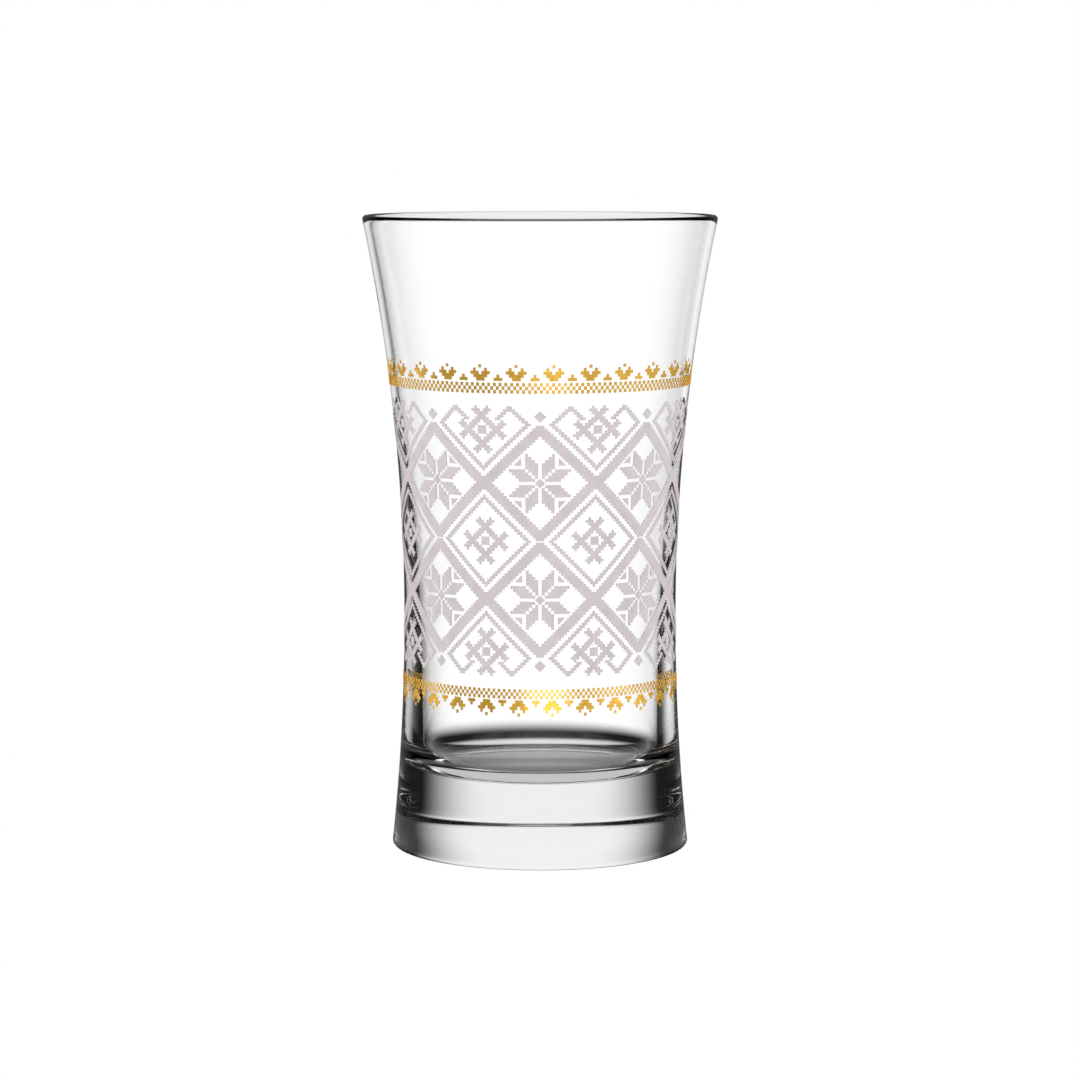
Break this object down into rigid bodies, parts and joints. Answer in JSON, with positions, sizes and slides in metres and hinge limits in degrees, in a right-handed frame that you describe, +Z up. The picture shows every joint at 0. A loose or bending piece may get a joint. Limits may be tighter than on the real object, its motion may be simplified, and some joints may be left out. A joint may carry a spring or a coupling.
{
  "type": "shot glass",
  "caption": "Tall flared shot glass with a thick solid base and a stitched folk-pattern print in pale enamel and gold.",
  "frame": {"origin": "middle of the standing ring, on the surface the glass stands on", "axes": "+Z up along the glass's axis; the middle of the print faces -Y"},
  "size_m": [0.0446, 0.0446, 0.08],
  "materials": {
    "clear_glass": "clear, fire-polished",
    "gold_print": "fired bright gold",
    "enamel_print": "fired satin enamel"
  },
  "bodies": {
    "root": {"glass_body": "clear_glass", "upper_gold_blossoms": "gold_print", "upper_gold_trefoils": "gold_print", "upper_gold_checks": "gold_print", "lower_gold_checks": "gold_print", "lower_gold_trefoils": "gold_print", "lower_gold_blossoms": "gold_print", "enamel_lattice": "enamel_print", "enamel_diamonds": "enamel_print", "enamel_crosses": "enamel_print", "enamel_stars": "enamel_print", "enamel_lozenges": "enamel_print"}
  },
  "joints": []
}
